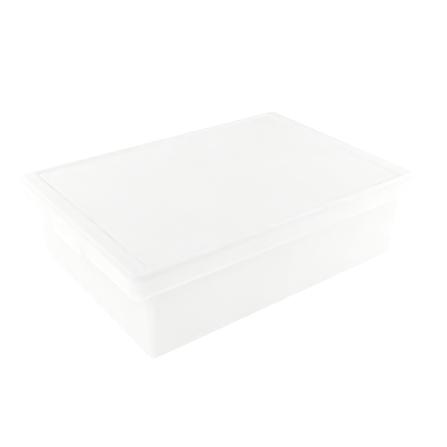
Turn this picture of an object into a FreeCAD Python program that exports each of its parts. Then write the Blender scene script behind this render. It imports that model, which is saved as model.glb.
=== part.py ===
import FreeCAD, Part
import Sketcher
import os
import math
from FreeCAD import Vector

# Stacking storage box: a one-piece moulded tub with a down-turned rim, and a one-piece lift-off lid
# whose skirt hangs outside that rim. Millimetres, +Z up, origin at the centre of the base's underside,
# +X along the length.

os.makedirs("parts", exist_ok=True)
doc = FreeCAD.newDocument("stacking_box")

# ---------------------------------------------------------------- driving dimensions
sheet = doc.addObject("Spreadsheet::Sheet", "Dimensions")
sheet.Label = "Dimensions"
SIZES = [
    # lid
    ("LidHalfLength", 296.0, "lid skirt, half length outside, at its lower edge"),
    ("LidHalfWidth", 201.0, "lid skirt, half width outside, at its lower edge"),
    ("LidCorner", 18.5, "plan radius of the lid's corners"),
    ("LidTop", 166.0, "height of the lid's raised rim above the base"),
    ("SkirtLow", 133.0, "height of the skirt's lower edge"),
    ("LidEdgeRound", 9.4, "rounding between the rim's top and the skirt"),
    ("LidWall", 2.2, "lid wall"),
    ("LidDraft", 0.6, "draft of the skirt, degrees"),
    ("RecessHalfLength", 266.8, "inner edge of the raised rim, half length"),
    ("RecessHalfWidth", 188.2, "inner edge of the raised rim, half width"),
    ("RecessCorner", 12.0, "plan radius at the rim's inner edge"),
    ("RecessDepth", 4.7, "how far the panel lies below the rim"),
    ("RecessSlope", 51.5, "slope between rim and panel, degrees from upright"),
    ("PanHalfLength", 261.4, "underside of the panel, half length"),
    ("PanHalfWidth", 182.8, "underside of the panel, half width"),
    ("PanCorner", 7.1, "plan radius of the panel's underside"),
    ("RecessFootRound", 5.0, "rounding between the slope and the panel"),
    ("RecessLipRound", 6.0, "rounding between the slope and the raised rim"),
    ("PanEdgeRound", 6.0, "rounding round the panel's underside"),
    ("PanRootRound", 2.3, "rounding where the pan leaves the rim, underneath"),
    ("TabHalfWidth", 46.0, "lift tab, half width of its face"),
    ("TabCorner", 4.0, "rounding between the tab's face and its 45 degree flanks"),
    ("TabHollowCorner", 1.8, "the same rounding inside the tab"),
    ("TabFlankRoot", 3.0, "rounding where the tab's flanks leave the skirt"),
    ("TabProud", 4.0, "how far the lift tab stands out of the skirt, at its lower edge"),
    ("TabSink", 1.0, "how far the tab's face lies inside the skirt's, at its upper edge"),
    ("TabRoot", 1.6, "how deep the tab's flanks start inside the skirt's face"),
    ("TabLow", 127.5, "height of the lift tab's lower edge"),
    ("TabTop", 157.0, "height where the lift tab's leaning face ends, inside the skirt"),
    ("SkirtEdgeRound", 0.6, "easing of the skirt's and tabs' lower edges"),
    # tub
    ("BaseHalfLength", 265.2, "tub wall, half length outside, at the base"),
    ("BaseHalfWidth", 186.6, "tub wall, half width outside, at the base"),
    ("BaseCorner", 9.0, "plan radius of the tub's corners at the base"),
    ("TubDraft", 0.9, "draft of the tub wall, degrees"),
    ("TubWall", 2.4, "tub wall"),
    ("FloorTop", 3.4, "height of the inside of the floor"),
    ("CavityHalfLength", 262.85, "inside of the tub wall at the floor, half length"),
    ("CavityHalfWidth", 184.25, "inside of the tub wall at the floor, half width"),
    ("CavityCorner", 7.0, "plan radius inside the corners at the floor"),
    ("CavityRound", 5.6, "rounding between the floor and the wall, inside"),
    ("BaseRound", 8.0, "rounding round the base"),
    ("RimTop", 163.5, "height of the tub's rim"),
    ("RimHalfLength", 292.6, "outside of the down-turned lip, half length"),
    ("RimHalfWidth", 197.6, "outside of the down-turned lip, half width"),
    ("RimCorner", 15.1, "plan radius of the lip's corners"),
    ("RimWall", 2.4, "rim and lip wall"),
    ("LipLow", 126.5, "height of the lip's lower edge"),
    ("RimRound", 6.0, "rounding between the rim's top and the lip"),
    ("MouthRound", 3.8, "rounding of the tub's mouth"),
    ("LipEdgeRound", 0.9, "easing of the lip's lower edge"),
    ("RimRootRound", 1.6, "rounding where the wall meets the underside of the rim"),
    ("FootHalfLength", 246.0, "hollow of the underside inside the foot band, half length"),
    ("FootHalfWidth", 168.0, "hollow of the underside inside the foot band, half width"),
    ("FootCorner", 22.0, "plan radius of that hollow"),
    ("FootDepth", 1.0, "depth of that hollow"),
    ("GateRadius", 5.0, "moulding gate in the middle of each underside"),
    ("GateHeight", 0.5, "height of that gate mark"),
    ("RibThick", 2.0, "gusset under the rim"),
    ("RibEnd", 96.0, "gusset under the short ends, from the middle"),
    ("RibSideNear", 75.0, "first gusset under the long sides, from the middle"),
    ("RibSideFar", 205.0, "second gusset under the long sides, from the middle"),
]
for i, (alias, value, note) in enumerate(SIZES, start=1):
    sheet.set("A%d" % i, alias)
    sheet.set("B%d" % i, "%g" % value)
    sheet.setAlias("B%d" % i, alias)
    sheet.set("C%d" % i, note)
doc.recompute()


def size(name):
    return float(sheet.get(name))


def plane(body, role):
    return next(f for f in body.Origin.OriginFeatures if f.Role == role)


def attached(body, name, role="XY_Plane"):
    sk = body.newObject("Sketcher::SketchObject", name)
    sk.AttachmentSupport = [(plane(body, role), "")]
    sk.MapMode = "FlatFace"
    return sk


def value_of(expression):
    """The number that an expression over the sheet's aliases gives, for a sketch's first guess."""
    names = {a: size(a) for a, _, _ in SIZES}
    text = expression
    for a in sorted(names, key=len, reverse=True):
        text = text.replace("Dimensions." + a, repr(names[a]))
    total, sign, number = 0.0, 1.0, ""
    for term in text.replace("-", "+-").split("+"):
        term = term.strip()
        if not term:
            continue
        sign = -1.0 if term.startswith("-") else 1.0
        product = 1.0
        for factor in term.lstrip("-").split("*"):
            factor = factor.strip()
            if factor.startswith("tan(") and factor.endswith("deg)"):
                product *= math.tan(math.radians(float(factor[4:-4].strip())))
            else:
                product *= float(factor)
        total += sign * product
    return total


def rounded(body, name, half_x, half_y, radius, z):
    """A rounded rectangle about the origin, at height z. All four are expressions over the sheet."""
    sk = attached(body, name)
    hx, hy, r = value_of(half_x), value_of(half_y), value_of(radius)
    up = Vector(0, 0, 1)
    sk.addGeometry(
        [
            Part.LineSegment(Vector(-hx + r, -hy, 0), Vector(hx - r, -hy, 0)),
            Part.LineSegment(Vector(hx, -hy + r, 0), Vector(hx, hy - r, 0)),
            Part.LineSegment(Vector(hx - r, hy, 0), Vector(-hx + r, hy, 0)),
            Part.LineSegment(Vector(-hx, hy - r, 0), Vector(-hx, -hy + r, 0)),
            Part.ArcOfCircle(Part.Circle(Vector(hx - r, -hy + r, 0), up, r), -math.pi / 2, 0),
            Part.ArcOfCircle(Part.Circle(Vector(hx - r, hy - r, 0), up, r), 0, math.pi / 2),
            Part.ArcOfCircle(Part.Circle(Vector(-hx + r, hy - r, 0), up, r), math.pi / 2, math.pi),
            Part.ArcOfCircle(Part.Circle(Vector(-hx + r, -hy + r, 0), up, r), math.pi, 1.5 * math.pi),
        ],
        False,
    )
    C = Sketcher.Constraint
    sk.addConstraint(
        [
            C("Tangent", 0, 2, 4, 1),
            C("Tangent", 4, 2, 1, 1),
            C("Tangent", 1, 2, 5, 1),
            C("Tangent", 5, 2, 2, 1),
            C("Tangent", 2, 2, 6, 1),
            C("Tangent", 6, 2, 3, 1),
            C("Tangent", 3, 2, 7, 1),
            C("Tangent", 7, 2, 0, 1),
            C("Horizontal", 0),
            C("Horizontal", 2),
            C("Vertical", 1),
            C("Vertical", 3),
            C("Equal", 4, 5),
            C("Equal", 5, 6),
            C("Equal", 6, 7),
            C("Symmetric", 0, 1, 2, 1, -1, 1),
        ]
    )
    for kind, args, label, expression in (
        ("DistanceX", (-1, 1, 1, 1, hx), "HalfX", half_x),
        ("DistanceY", (-1, 1, 2, 1, hy), "HalfY", half_y),
        ("Radius", (4, r), "Corner", radius),
    ):
        i = sk.addConstraint(C(kind, *args))
        sk.renameConstraint(i, label)
        sk.setExpression("Constraints." + label, expression)
    sk.setExpression("AttachmentOffset.Base.z", z)
    sk.AttachmentOffset = FreeCAD.Placement(Vector(0, 0, value_of(z)), FreeCAD.Rotation())
    doc.recompute()
    return sk


def closed(body, name, points, role, along, offset="0"):
    """A closed straight-sided sketch. Each point is a pair of expressions in the sketch's own axes."""
    sk = attached(body, name, role)
    P = [Vector(value_of(a), value_of(b), 0) for a, b in points]
    n = len(P)
    sk.addGeometry([Part.LineSegment(P[i], P[(i + 1) % n]) for i in range(n)], False)
    C = Sketcher.Constraint
    sk.addConstraint([C("Coincident", i, 2, (i + 1) % n, 1) for i in range(n)])
    for i, (a, b) in enumerate(points):
        for kind, value, letter, expression in (
            ("DistanceX", P[i].x, "U%d" % i, a),
            ("DistanceY", P[i].y, "V%d" % i, b),
        ):
            j = sk.addConstraint(C(kind, i, 1, value))
            sk.renameConstraint(j, letter)
            sk.setExpression("Constraints." + letter, expression)
    sk.setExpression("AttachmentOffset.Base." + along, offset)
    base = Vector(0, 0, 0)
    setattr(base, along, value_of(offset))
    sk.AttachmentOffset = FreeCAD.Placement(base, FreeCAD.Rotation())
    doc.recompute()
    return sk


def grow(body, kind, name, sketch, length, reverse=False, taper=None, middle=False):
    """A Pad or Pocket, and a check that it changed the volume the way it should."""
    before = body.Shape.Volume if not body.Shape.isNull() else 0.0
    f = body.newObject("PartDesign::" + kind, name)
    f.Profile = sketch
    f.Length = value_of(length)
    f.setExpression("Length", length)
    f.Reversed = reverse
    if middle:
        f.Midplane = True
    if taper is not None:
        f.TaperAngle = value_of(taper)
        f.setExpression("TaperAngle", taper)
    f.Refine = True
    doc.recompute()
    after = f.Shape.Volume
    if len(f.Shape.Solids) != 1:
        raise SystemExit("%s left %d solids" % (name, len(f.Shape.Solids)))
    if (kind == "Pad" and after <= before + 1e-3) or (kind == "Pocket" and after >= before - 1e-3):
        raise SystemExit("%s %s changed nothing: %.1f -> %.1f" % (kind, name, before, after))
    return f


def picked(feature, test):
    """Names of the feature's edges whose middle point and box pass the test."""
    names = []
    for i, e in enumerate(feature.Shape.Edges, start=1):
        if test(e, e.BoundBox):
            names.append("Edge%d" % i)
    return names


def level(z, tol=0.02):
    return lambda e, b: abs(b.ZMin - z) < tol and abs(b.ZMax - z) < tol


def fillet(body, name, base, names, radius):
    if not names:
        raise SystemExit("no edge for " + name)
    f = body.newObject("PartDesign::Fillet", name)
    f.Base = (base, names)
    f.Radius = value_of(radius)
    f.setExpression("Radius", radius)
    f.Refine = True
    doc.recompute()
    if "Invalid" in f.State or f.Shape.isNull() or not f.Shape.isValid():
        raise SystemExit("fillet %s failed on %s" % (name, names))
    return f


# ---------------------------------------------------------------- tub
D = "Dimensions."
tub = doc.addObject("PartDesign::Body", "tub")
tub.Label = "tub"

# rim plate with the lip turned down round it
grow(tub, "Pad", "rim_block", rounded(tub, "rim_outline", D + "RimHalfLength", D + "RimHalfWidth", D + "RimCorner", D + "LipLow"), D + "RimTop - " + D + "LipLow")
rim = fillet(tub, "rim_round", tub.Tip, picked(tub.Tip, level(size("RimTop"))), D + "RimRound")
grow(
    tub,
    "Pocket",
    "rim_channel",
    rounded(tub, "channel_outline", D + "RimHalfLength - " + D + "RimWall", D + "RimHalfWidth - " + D + "RimWall", D + "RimCorner - " + D + "RimWall", D + "LipLow"),
    D + "RimTop - " + D + "LipLow - " + D + "RimWall",
    reverse=True,
)
under = size("RimTop") - size("RimWall")
fillet(tub, "channel_round", tub.Tip, picked(tub.Tip, level(under)), D + "RimRound - " + D + "RimWall")
# the lip's lower edge is rounded over on both sides
fillet(tub, "lip_edge", tub.Tip, picked(tub.Tip, level(size("LipLow"))), D + "LipEdgeRound")

# drafted outer wall, and its rounding into the base
grow(tub, "Pad", "wall_block", rounded(tub, "base_outline", D + "BaseHalfLength", D + "BaseHalfWidth", D + "BaseCorner", "0"), D + "RimTop - 1", taper=D + "TubDraft")
fillet(tub, "base_round", tub.Tip, picked(tub.Tip, level(0)), D + "BaseRound")

# drafted inside
grow(tub, "Pocket", "cavity", rounded(tub, "cavity_outline", D + "CavityHalfLength", D + "CavityHalfWidth", D + "CavityCorner", D + "FloorTop"), D + "RimTop - " + D + "FloorTop", reverse=True, taper=D + "TubDraft")
fillet(tub, "cavity_round", tub.Tip, picked(tub.Tip, level(size("FloorTop"))), D + "CavityRound")
fillet(tub, "mouth_round", tub.Tip, picked(tub.Tip, lambda e, b: level(size("RimTop"))(e, b) and max(abs(b.XMin), abs(b.XMax)) < size("CavityHalfLength") + 4 and max(abs(b.YMin), abs(b.YMax)) < size("CavityHalfWidth") + 4), D + "MouthRound")
# where the wall meets the underside of the rim
fillet(tub, "rim_root", tub.Tip, picked(tub.Tip, lambda e, b: level(under)(e, b) and max(abs(b.XMin), abs(b.XMax)) < size("RimHalfLength") - 15 and max(abs(b.YMin), abs(b.YMax)) < size("BaseHalfWidth") + 4), D + "RimRootRound")

# hollow of the underside inside the foot band
grow(tub, "Pocket", "foot_hollow", rounded(tub, "foot_outline", D + "FootHalfLength", D + "FootHalfWidth", D + "FootCorner", "0"), D + "FootDepth", reverse=True)

# gussets under the rim, between the wall and the lip: one on the ends and two on the sides, mirrored to all four
# corners. The middle of each short end is left free for the fingers.
ribs = []
for k, at in enumerate(("RibEnd",)):
    g = closed(
        tub,
        "rib_end_outline_%d" % k,
        [
            (D + "BaseHalfLength - 0.4", D + "LipLow + 6"),
            (D + "BaseHalfLength + 8", D + "LipLow + 6"),
            (D + "RimHalfLength - 1.2", D + "RimTop - 14"),
            (D + "RimHalfLength - 1.2", D + "RimTop - 3"),
            (D + "RimHalfLength - 8", D + "RimTop - 1.2"),
            (D + "BaseHalfLength + 0.8", D + "RimTop - 1.2"),
        ],
        "XZ_Plane",
        "z",
        "0 - " + D + at,
    )
    ribs.append(grow(tub, "Pad", "rib_end_%d" % k, g, D + "RibThick"))
for k, at in enumerate(("RibSideNear", "RibSideFar")):
    g = closed(
        tub,
        "rib_side_outline_%d" % k,
        [
            (D + "BaseHalfWidth - 0.4", D + "LipLow + 6"),
            (D + "BaseHalfWidth + 5", D + "LipLow + 6"),
            (D + "RimHalfWidth - 1.2", D + "LipLow + 12"),
            (D + "RimHalfWidth - 1.2", D + "RimTop - 5"),
            (D + "RimHalfWidth - 6", D + "RimTop - 1.2"),
            (D + "BaseHalfWidth + 0.8", D + "RimTop - 1.2"),
        ],
        "YZ_Plane",
        "z",
        D + at,
    )
    ribs.append(grow(tub, "Pad", "rib_side_%d" % k, g, D + "RibThick"))
many = tub.newObject("PartDesign::MultiTransform", "ribs")
many.Originals = ribs
flips = []
for role in ("XZ_Plane", "YZ_Plane"):
    m = tub.newObject("PartDesign::Mirrored", "flip_" + role[:2].lower())
    m.MirrorPlane = (plane(tub, role), [""])
    flips.append(m)
many.Transformations = flips
tub.Tip = many
doc.recompute()

# ---------------------------------------------------------------- lid
lid = doc.addObject("PartDesign::Body", "lid")
lid.Label = "lid"

grow(lid, "Pad", "cover_block", rounded(lid, "skirt_outline", D + "LidHalfLength", D + "LidHalfWidth", D + "LidCorner", D + "SkirtLow"), D + "LidTop - " + D + "SkirtLow", taper="0 - " + D + "LidDraft")
grow(
    lid,
    "Pocket",
    "cover_inside",
    rounded(lid, "inside_outline", D + "LidHalfLength - " + D + "LidWall", D + "LidHalfWidth - " + D + "LidWall", D + "LidCorner - " + D + "LidWall", D + "SkirtLow"),
    D + "LidTop - " + D + "SkirtLow - " + D + "LidWall",
    reverse=True,
    taper="0 - " + D + "LidDraft",
)
plate = size("LidTop") - size("LidWall")
fillet(lid, "inside_round", lid.Tip, picked(lid.Tip, level(plate)), D + "LidEdgeRound - " + D + "LidWall")
fillet(lid, "cover_round", lid.Tip, picked(lid.Tip, level(size("LidTop"))), D + "LidEdgeRound")

# the panel lies below the rim: a tapered pan is added under the plate, then the recess is cut from above
pan = D + "LidTop - " + D + "RecessDepth - " + D + "LidWall"
grow(lid, "Pad", "pan_block", rounded(lid, "pan_outline", D + "PanHalfLength", D + "PanHalfWidth", D + "PanCorner", pan), D + "RecessDepth + " + D + "LidWall - 1", taper=D + "RecessSlope")
grow(lid, "Pocket", "recess", rounded(lid, "recess_outline", D + "RecessHalfLength", D + "RecessHalfWidth", D + "RecessCorner", D + "LidTop"), D + "RecessDepth", taper="0 - " + D + "RecessSlope")
inner = lambda e, b: max(abs(b.XMin), abs(b.XMax)) < size("RecessHalfLength") + 1 and max(abs(b.YMin), abs(b.YMax)) < size("RecessHalfWidth") + 1
fillet(lid, "recess_foot", lid.Tip, picked(lid.Tip, lambda e, b: level(value_of(pan) + size("LidWall"))(e, b)), D + "RecessFootRound")
fillet(lid, "recess_lip", lid.Tip, picked(lid.Tip, lambda e, b: level(size("LidTop"))(e, b) and inner(e, b)), D + "RecessLipRound")
fillet(lid, "pan_edge", lid.Tip, picked(lid.Tip, lambda e, b: level(value_of(pan))(e, b)), D + "PanEdgeRound")
fillet(lid, "pan_root", lid.Tip, picked(lid.Tip, lambda e, b: level(plate)(e, b) and max(abs(b.XMin), abs(b.XMax)) < size("RecessHalfLength") + 5 and max(abs(b.YMin), abs(b.YMax)) < size("RecessHalfWidth") + 2.5), D + "PanRootRound")

# lift tab in the middle of each short end: the skirt swells outwards towards its lower edge and hangs lower there.
# Its face leans back into the skirt below the rim's rounding, and its flanks stand at 45 degrees to the skirt.
def flipped(text, flip):
    """An expression, or its mirror image's for the other end."""
    return "0 - " + text.replace(" + ", " ~ ").replace(" - ", " + ").replace(" ~ ", " - ") if flip else text


def tab_plan(name, flip, root, face, wide, narrow, z):
    """The tab's plan at height z: from its root inside the skirt, wide, out to its face, narrow."""
    return closed(
        lid,
        name,
        [
            (flipped(D + root, flip), flipped(D + wide, True)),
            (flipped(D + face, flip), flipped(D + narrow, True)),
            (flipped(D + face, flip), D + narrow),
            (flipped(D + root, flip), D + wide),
        ],
        "XY_Plane",
        "z",
        z,
    )


def loft(kind, name, low, high):
    """A straight loft between two plans, and a check that it changed the volume the way it should."""
    before = lid.Shape.Volume
    f = lid.newObject("PartDesign::" + kind, name)
    f.Profile = low
    f.Sections = [high]
    f.Ruled = True
    f.Refine = True
    doc.recompute()
    after = f.Shape.Volume
    if len(f.Shape.Solids) != 1 or (after > before) != (kind == "AdditiveLoft") or abs(after - before) < 1.0:
        raise SystemExit("%s %s: %d solids, %.1f -> %.1f" % (kind, name, len(f.Shape.Solids), before, after))
    return f


for k, flip in enumerate((False, True)):
    low = tab_plan(
        "tab_low_%d" % k, flip,
        "LidHalfLength - " + D + "TabRoot", "LidHalfLength + " + D + "TabProud",
        "TabHalfWidth + " + D + "TabProud + " + D + "TabRoot", "TabHalfWidth",
        D + "TabLow",
    )
    high = tab_plan(
        "tab_high_%d" % k, flip,
        "LidHalfLength - " + D + "TabRoot", "LidHalfLength - " + D + "TabSink",
        "TabHalfWidth + " + D + "TabRoot - " + D + "TabSink", "TabHalfWidth",
        D + "TabTop",
    )
    loft("AdditiveLoft", "tab_%d" % k, low, high)
flanks = lambda near, far, low, tall, wide: picked(
    lid.Tip,
    lambda e, b: near < max(abs(b.XMin), abs(b.XMax)) < far
    and abs(max(abs(b.YMin), abs(b.YMax)) - size("TabHalfWidth")) < wide
    and b.ZMax - b.ZMin > tall
    and b.YMax - b.YMin < 6
    and abs(b.ZMin - low) < 0.3,
)
fillet(lid, "tab_corners", lid.Tip, flanks(size("LidHalfLength") + size("TabProud") - 0.5, size("LidHalfLength") + size("TabProud") + 0.5, size("TabLow"), 10, 1.0), D + "TabCorner")
fillet(lid, "tab_flank_roots", lid.Tip, flanks(size("LidHalfLength") - 0.5, size("LidHalfLength") + 0.5, size("SkirtLow"), 8, 5.5), D + "TabFlankRoot")
for k, flip in enumerate((False, True)):
    low = tab_plan(
        "tab_hollow_low_%d" % k, flip,
        "LidHalfLength - 5", "LidHalfLength + " + D + "TabProud - " + D + "LidWall",
        "TabHalfWidth + " + D + "TabProud + 5 - 1.414 * " + D + "LidWall", "TabHalfWidth - 0.414 * " + D + "LidWall",
        D + "TabLow - 1",
    )
    high = tab_plan(
        "tab_hollow_high_%d" % k, flip,
        "LidHalfLength - 5", "LidHalfLength - " + D + "TabSink - " + D + "LidWall",
        "TabHalfWidth + 5 - " + D + "TabSink - 1.414 * " + D + "LidWall", "TabHalfWidth - 0.414 * " + D + "LidWall",
        D + "TabTop",
    )
    loft("SubtractiveLoft", "tab_hollow_%d" % k, low, high)
fillet(lid, "tab_hollow_corners", lid.Tip, flanks(size("LidHalfLength") + size("TabProud") - size("LidWall") - 0.6, size("LidHalfLength") + size("TabProud") - size("LidWall") + 0.6, size("TabLow"), 8, 1.6), D + "TabHollowCorner")
# the lower edges of the skirt and of the tabs are eased
fillet(lid, "skirt_edge", lid.Tip, picked(lid.Tip, lambda e, b: level(size("SkirtLow"))(e, b) and b.DiagonalLength > 6), D + "SkirtEdgeRound")
fillet(lid, "tab_edge", lid.Tip, picked(lid.Tip, lambda e, b: level(size("TabLow"))(e, b) and b.DiagonalLength > 0.5), D + "SkirtEdgeRound")


def disc(body, name, radius, z, height, reverse):
    """The moulding gate: a low round mark in the middle of an underside."""
    sk = attached(body, name + "_outline")
    sk.addGeometry(Part.Circle(Vector(0, 0, 0), Vector(0, 0, 1), value_of(radius)), False)
    sk.addConstraint(Sketcher.Constraint("Coincident", 0, 3, -1, 1))
    i = sk.addConstraint(Sketcher.Constraint("Radius", 0, value_of(radius)))
    sk.renameConstraint(i, "Radius")
    sk.setExpression("Constraints.Radius", radius)
    sk.setExpression("AttachmentOffset.Base.z", z)
    sk.AttachmentOffset = FreeCAD.Placement(Vector(0, 0, value_of(z)), FreeCAD.Rotation())
    doc.recompute()
    return grow(body, "Pad", name, sk, height, reverse=reverse)


disc(lid, "lid_gate", D + "GateRadius", pan, D + "GateHeight", True)
disc(tub, "tub_gate", D + "GateRadius", D + "FootDepth", D + "GateHeight", True)

# ---------------------------------------------------------------- checks and export
doc.recompute()
for o in doc.Objects:
    if "Invalid" in o.State or "Error" in o.State:
        raise SystemExit("object %s failed: %s" % (o.Name, o.State))
for body in (tub, lid):
    body.Placement = FreeCAD.Placement()
doc.recompute()
for body in (tub, lid):
    shape = body.Shape
    if shape.isNull() or not shape.isValid() or len(shape.Solids) != 1:
        raise SystemExit("bad shape: " + body.Label)
    box = shape.optimalBoundingBox(True, False)
    print(
        "%s volume %.0f mm3, %d faces, box %.1f %.1f %.1f to %.1f %.1f %.1f"
        % (body.Label, shape.Volume, len(shape.Faces), box.XMin, box.YMin, box.ZMin, box.XMax, box.YMax, box.ZMax)
    )
common = tub.Shape.common(lid.Shape)
print("overlap of tub and lid %.4f mm3, gap %.3f mm" % (common.Volume, tub.Shape.distToShape(lid.Shape)[0]))
for body in (tub, lid):
    body.Shape.exportStep("parts/%s.step" % body.Label)
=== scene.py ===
import math

import bpy
from mathutils import Matrix, Vector

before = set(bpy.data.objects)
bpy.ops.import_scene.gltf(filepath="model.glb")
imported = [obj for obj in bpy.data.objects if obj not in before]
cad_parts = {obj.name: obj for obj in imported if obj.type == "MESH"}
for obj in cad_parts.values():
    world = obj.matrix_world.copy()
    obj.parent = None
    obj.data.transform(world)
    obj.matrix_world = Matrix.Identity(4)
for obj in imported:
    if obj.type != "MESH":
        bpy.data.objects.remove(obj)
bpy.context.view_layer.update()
scene = bpy.context.scene
scene.view_settings.view_transform = "Standard"
scene.view_settings.look = "None"


# ---------------------------------------------------------------- node helpers
class Tree:
    """Small helper for building a material's nodes."""

    def __init__(self, name):
        self.material = bpy.data.materials.new(name)
        self.material.use_nodes = True
        self.nodes = self.material.node_tree.nodes
        self.links = self.material.node_tree.links
        self.nodes.clear()
        self.out = self.nodes.new("ShaderNodeOutputMaterial")

    def add(self, kind, **settings):
        node = self.nodes.new(kind)
        inputs = settings.pop("inputs", {})
        for key, value in settings.items():
            setattr(node, key, value)
        for key, value in inputs.items():
            self.put(value, node.inputs[key])
        return node

    def put(self, value, socket):
        if isinstance(value, bpy.types.NodeSocket):
            self.links.new(value, socket)
        else:
            socket.default_value = value

    def math(self, op, *values, clamp=False):
        node = self.add("ShaderNodeMath", operation=op, use_clamp=clamp)
        for i, v in enumerate(values):
            self.put(v, node.inputs[i])
        return node.outputs[0]

    def noise(self, vector, scale, detail=2.0, rough=0.5, distortion=0.0):
        node = self.add("ShaderNodeTexNoise", noise_dimensions="3D")
        self.put(vector, node.inputs["Vector"])
        self.put(scale, node.inputs["Scale"])
        self.put(detail, node.inputs["Detail"])
        self.put(rough, node.inputs["Roughness"])
        self.put(distortion, node.inputs["Distortion"])
        return node.outputs["Fac"]

    def span(self, value, a, b, lo, hi, smooth=False):
        node = self.add("ShaderNodeMapRange", clamp=True)
        if smooth:
            node.interpolation_type = "SMOOTHSTEP"
        for key, v in (("Value", value), ("From Min", a), ("From Max", b), ("To Min", lo), ("To Max", hi)):
            self.put(v, node.inputs[key])
        return node.outputs["Result"]

    def mix(self, factor, a, b):
        node = self.add("ShaderNodeMix", data_type="RGBA")
        self.put(factor, node.inputs[0])
        self.put(a, node.inputs[6])
        self.put(b, node.inputs[7])
        return node.outputs[2]


def plastic(name, warm, pale, grain, grain_depth, rough, sss):
    """Natural polypropylene: milky, translucent, satin. The colour drifts a little with the flow of the melt from the
    gate in the middle, the surface has a fine moulded grain, faint waviness and a few hairline scuffs."""
    t = Tree(name)
    where = t.add("ShaderNodeTexCoord").outputs["Object"]

    # flow of the melt: rays from the gate at the middle, drawn out along the radius
    split = t.add("ShaderNodeSeparateXYZ", inputs={"Vector": where})
    x, y, z = split.outputs
    around = t.math("ARCTAN2", y, x)
    out = t.math("SQRT", t.math("ADD", t.math("MULTIPLY", x, x), t.math("MULTIPLY", y, y)))
    polar = t.add(
        "ShaderNodeCombineXYZ",
        inputs={"X": t.math("MULTIPLY", t.math("SINE", around), 3.0), "Y": t.math("MULTIPLY", t.math("COSINE", around), 3.0), "Z": t.math("MULTIPLY", out, 4.0)},
    ).outputs[0]
    flow = t.noise(polar, 2.6, 4.0, 0.55, 0.4)
    cloud = t.noise(where, 9.0, 3.0, 0.5, 0.2)
    fine = t.noise(where, 160.0, 2.0, 0.5)
    shade = t.math("ADD", t.math("MULTIPLY", flow, 0.3), t.math("ADD", t.math("MULTIPLY", cloud, 0.5), t.math("MULTIPLY", fine, 0.2)))
    colour = t.mix(t.span(shade, 0.36, 0.64, 0.0, 1.0, smooth=True), warm, pale)

    # hairline scuffs: thin, broken, two directions
    scuffs = None
    for turn, scale in ((0.35, 26.0), (-0.9, 19.0)):
        turned = t.add(
            "ShaderNodeMapping",
            vector_type="TEXTURE",
            inputs={"Vector": where, "Rotation": (0.0, 0.0, turn), "Scale": (1.0, 0.03, 1.0)},
        ).outputs[0]
        line = t.noise(turned, scale * 12, 1.0, 0.5, 0.6)
        mark = t.span(t.math("ABSOLUTE", t.math("SUBTRACT", line, 0.5)), 0.0, 0.012, 1.0, 0.0)
        patch = t.span(t.noise(where, scale * 0.7, 2.0, 0.6), 0.55, 0.68, 0.0, 1.0, smooth=True)
        mark = t.math("MULTIPLY", mark, patch)
        scuffs = mark if scuffs is None else t.math("MAXIMUM", scuffs, mark)

    roughness = t.math("ADD", t.span(t.noise(where, 24.0, 3.0, 0.6), 0.3, 0.7, rough - 0.05, rough + 0.06), t.math("MULTIPLY", scuffs, 0.12), clamp=True)

    # surface relief, in metres: moulded grain, long waviness of the thin wall, scuffs
    height = t.math("MULTIPLY", t.noise(where, grain, 2.0, 0.6), grain_depth)
    height = t.math("ADD", height, t.math("MULTIPLY", t.noise(where, 14.0, 1.0, 0.4), 0.00035))
    height = t.math("SUBTRACT", height, t.math("MULTIPLY", scuffs, 0.00002))
    bump = t.add("ShaderNodeBump", inputs={"Strength": 1.0, "Distance": 1.0, "Height": height}).outputs["Normal"]

    p = t.add("ShaderNodeBsdfPrincipled", subsurface_method="RANDOM_WALK")
    t.put(colour, p.inputs["Base Color"])
    t.put(roughness, p.inputs["Roughness"])
    t.put(bump, p.inputs["Normal"])
    p.inputs["IOR"].default_value = 1.49
    p.inputs["Subsurface Weight"].default_value = sss
    p.inputs["Subsurface Radius"].default_value = (1.0, 0.97, 0.9)
    p.inputs["Subsurface Scale"].default_value = 0.0022
    t.links.new(p.outputs[0], t.out.inputs["Surface"])
    return t.material


tub_plastic = plastic("tub_polypropylene", (0.866, 0.864, 0.85, 1), (0.88, 0.879, 0.868, 1), 1500.0, 0.000018, 0.36, 0.85)
lid_plastic = plastic("lid_polypropylene", (0.868, 0.866, 0.853, 1), (0.882, 0.881, 0.871, 1), 1100.0, 0.00003, 0.42, 0.85)

for node, material in (("tub", tub_plastic), ("lid", lid_plastic)):
    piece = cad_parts[node]
    piece.data.materials.clear()
    piece.data.materials.append(material)
    for s in piece.material_slots:
        s.material = material


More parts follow.
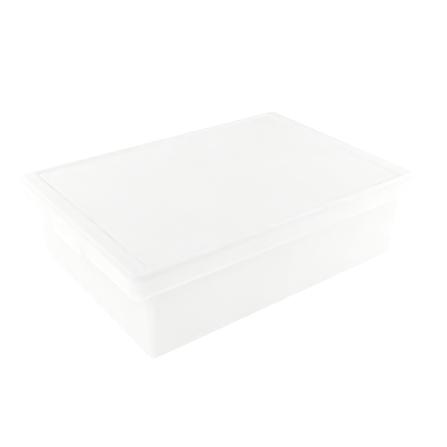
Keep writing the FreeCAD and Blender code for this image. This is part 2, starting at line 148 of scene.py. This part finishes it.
# ---------------------------------------------------------------- stage: pale floor, seen from above only
def make_floor(name, drop, colour, glow, shown):
    """A plane under the object, clear from below. The shown one is what the camera sees; the other, which the camera
    doesn't see, gives the light that comes back up from a pale floor."""
    mesh = bpy.data.meshes.new(name)
    r = 7.0
    mesh.from_pydata([(-r, -r, 0), (r, -r, 0), (r, r, 0), (-r, r, 0)], [], [(0, 1, 2, 3)])
    floor = bpy.data.objects.new(name, mesh)
    scene.collection.objects.link(floor)
    floor.location = (0, 0, -drop)
    t = Tree(name + "_white")
    p = t.add("ShaderNodeBsdfPrincipled")
    p.inputs["Base Color"].default_value = (colour, colour, colour, 1)
    p.inputs["Roughness"].default_value = 0.9
    p.inputs["Specular IOR Level"].default_value = 0.1
    p.inputs["Emission Color"].default_value = (1, 1, 1, 1)
    p.inputs["Emission Strength"].default_value = glow
    clear = t.add("ShaderNodeBsdfTransparent")
    back = t.add("ShaderNodeNewGeometry").outputs["Backfacing"]
    mixed = t.add("ShaderNodeMixShader")
    t.links.new(back, mixed.inputs[0])
    t.links.new(p.outputs[0], mixed.inputs[1])
    t.links.new(clear.outputs[0], mixed.inputs[2])
    t.links.new(mixed.outputs[0], t.out.inputs["Surface"])
    mesh.materials.append(t.material)
    floor.visible_camera = shown
    if shown:
        floor.visible_diffuse = floor.visible_glossy = floor.visible_transmission = floor.visible_shadow = False
    return floor


# round soft lights: name, place, aimed at, diameter, watts
LIGHTS = [
    ("low_right", (2.364, -0.0, 0.497), (0, 0, 0.08), 1.5, 4.89),
    ("low_left", (-2.364, 0.0, 0.497), (0, 0, 0.08), 1.5, 1.72),
    ("low_front_left", (-1.671, -1.671, 0.497), (0, 0, 0.08), 1.5, 3.46),
    ("mid_back", (0.0, 1.966, 1.457), (0, 0, 0.08), 1.5, 1.80),
    ("mid_left_front", (-1.703, -0.983, 1.457), (0, 0, 0.08), 1.5, 6.58),
    ("high_back", (0.0, 1.127, 2.199), (0, 0, 0.08), 1.5, 4.31),
    ("high_left", (-1.127, 0.0, 2.199), (0, 0, 0.08), 1.5, 5.02),
    ("overhead", (0.0, -0.042, 2.48), (0, 0, 0.08), 1.5, 4.89),
    ("near_front_right", (0.45, -0.62, 0.25), (0.25, -0.2, 0.1), 0.4, 0.46),
    ("near_right_top", (0.6, -0.2, 0.8), (0.25, 0.0, 0.16), 0.5, 1.04),
    ("near_back_left", (-0.5, 0.6, 0.7), (-0.2, 0.1, 0.16), 0.6, 1.27),
    ("near_top", (0.5, -0.1, 1.3), (0.0, 0.0, 0.16), 0.6, 0.50),
    ("side_right", (1.6, -0.2, 1.0), (0, 0, 0.16), 1.2, 2.65),
]
WORLD = 0.526
BOUNCE = 0.55
BOUNCE_GLOW = 0.677

make_floor("floor", 0.0006, 0.2, 1.0, True)
make_floor("floor_bounce", 0.0002, BOUNCE, BOUNCE_GLOW, False)
for name, place, aim, width, watts in LIGHTS:
    data = bpy.data.lights.new(name, "AREA")
    data.shape = "DISK"
    data.size = width
    data.energy = watts
    lamp = bpy.data.objects.new(name, data)
    scene.collection.objects.link(lamp)
    lamp.location = place
    lamp.rotation_euler = (Vector(aim) - Vector(place)).to_track_quat("-Z", "Y").to_euler()
    lamp.visible_camera = False

world = bpy.data.worlds.new("studio")
scene.world = world
world.use_nodes = True
world.node_tree.nodes.clear()
wout = world.node_tree.nodes.new("ShaderNodeOutputWorld")
wback = world.node_tree.nodes.new("ShaderNodeBackground")
wback.inputs["Color"].default_value = (1, 1, 1, 1)
wback.inputs["Strength"].default_value = WORLD
world.node_tree.links.new(wback.outputs[0], wout.inputs["Surface"])

# ---------------------------------------------------------------- camera
AZ, EL, ROLL = math.radians(-38.07), math.radians(29.34), math.radians(1.47)
PLACE = Vector((-0.6478, -0.8371, 0.6595))
FOCAL = 662.4
ahead = Vector((-math.sin(AZ) * math.cos(EL), math.cos(AZ) * math.cos(EL), -math.sin(EL)))
right = ahead.cross(Vector((0, 0, 1))).normalized()
up = right.cross(ahead)
r2 = right * math.cos(ROLL) + up * math.sin(ROLL)
u2 = -right * math.sin(ROLL) + up * math.cos(ROLL)
cam_data = bpy.data.cameras.new("camera")
cam_data.sensor_width = 36.0
cam_data.lens = 36.0 * FOCAL / 447.0
cam = bpy.data.objects.new("camera", cam_data)
scene.collection.objects.link(cam)
cam.matrix_world = Matrix(
    (
        (r2.x, u2.x, -ahead.x, PLACE.x),
        (r2.y, u2.y, -ahead.y, PLACE.y),
        (r2.z, u2.z, -ahead.z, PLACE.z),
        (0, 0, 0, 1),
    )
)
cam_data.clip_start, cam_data.clip_end = 0.02, 60
scene.camera = cam
